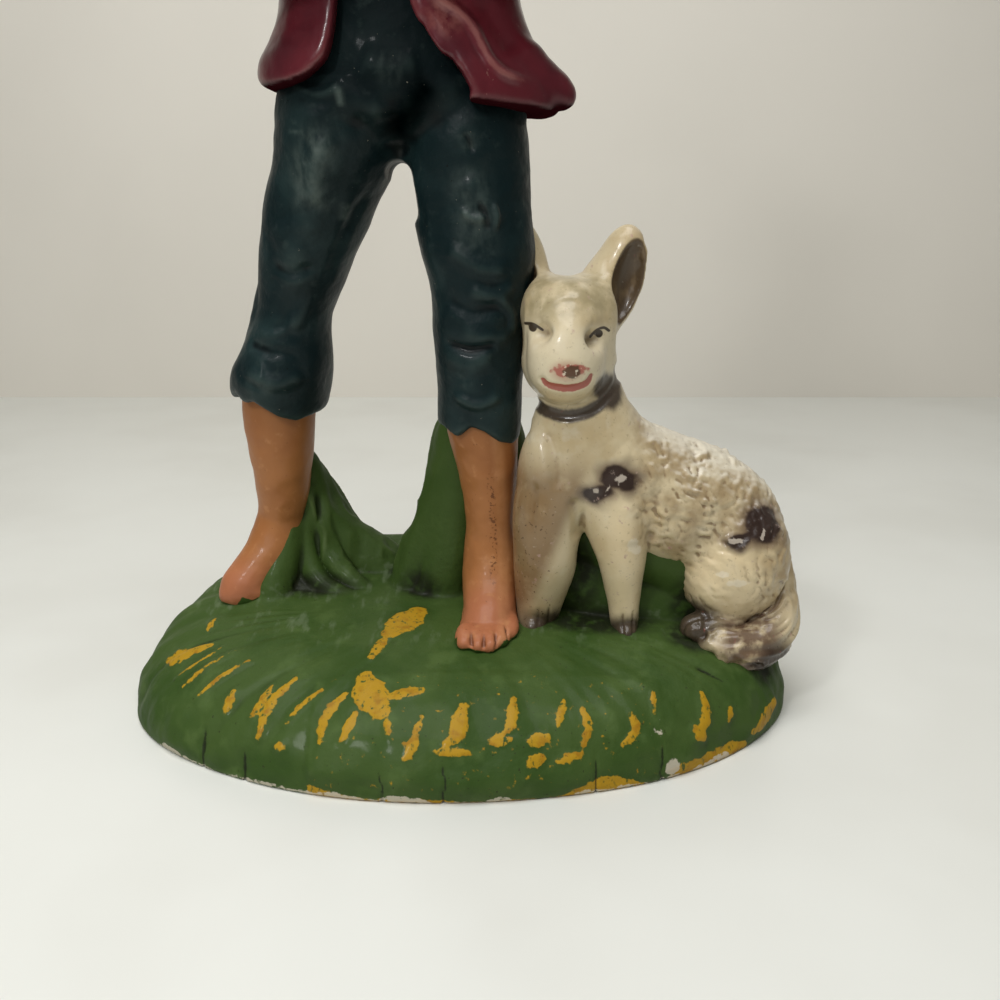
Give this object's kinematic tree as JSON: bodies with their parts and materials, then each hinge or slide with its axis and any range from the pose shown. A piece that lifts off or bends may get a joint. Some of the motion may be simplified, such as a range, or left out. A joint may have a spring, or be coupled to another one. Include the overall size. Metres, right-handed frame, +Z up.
{
  "type": "papier-mache shepherd figurine",
  "caption": "Painted papier-mache shepherd in rolled trousers and an open jacket, with a sitting dog, on a grassy oval base.",
  "frame": {"origin": "centre of the base's flat underside", "axes": "+Z up along the figure, -Y the way the figure faces, +X towards the dog"},
  "size_m": [0.1635, 0.0983, 0.2484],
  "materials": {
    "grass_green": "satin",
    "teal_paint": "satin",
    "plum_paint": "gloss",
    "skin_paint": "satin",
    "cream_paint": "gloss",
    "linen_paint": "satin",
    "hair_paint": "satin",
    "base_card": "matte",
    "dowel_wood": "matte",
    "iron_wire": "matte"
  },
  "bodies": {
    "root": {"base_mound": "grass_green", "base_card": "base_card", "right_grass_clump": "grass_green", "left_grass_clump": "grass_green", "dog_grass_clump": "grass_green", "right_leg": "skin_paint", "left_leg": "skin_paint", "right_leg_wire": "iron_wire", "left_leg_wire": "iron_wire", "trousers_front": "teal_paint", "trousers_back": "teal_paint", "torso_front": "linen_paint", "torso_back": "linen_paint", "jacket_right_front": "plum_paint", "jacket_left_front": "plum_paint", "jacket_back": "plum_paint", "right_sleeve": "plum_paint", "left_sleeve": "plum_paint", "right_hand": "skin_paint", "left_hand": "skin_paint", "right_arm_wire": "iron_wire", "left_arm_wire": "iron_wire", "head": "skin_paint", "hair": "hair_paint", "neck_dowel": "dowel_wood", "dog_body_left": "cream_paint", "dog_body_right": "cream_paint", "dog_head": "cream_paint", "dog_left_ear": "cream_paint", "dog_right_ear": "cream_paint", "dog_left_foreleg": "cream_paint", "dog_right_foreleg": "cream_paint", "dog_left_haunch": "cream_paint", "dog_right_haunch": "cream_paint", "dog_tail": "cream_paint", "dog_neck_wire": "iron_wire", "dog_left_foreleg_wire": "iron_wire", "dog_right_foreleg_wire": "iron_wire", "dog_rump_peg": "dowel_wood"}
  },
  "joints": []
}
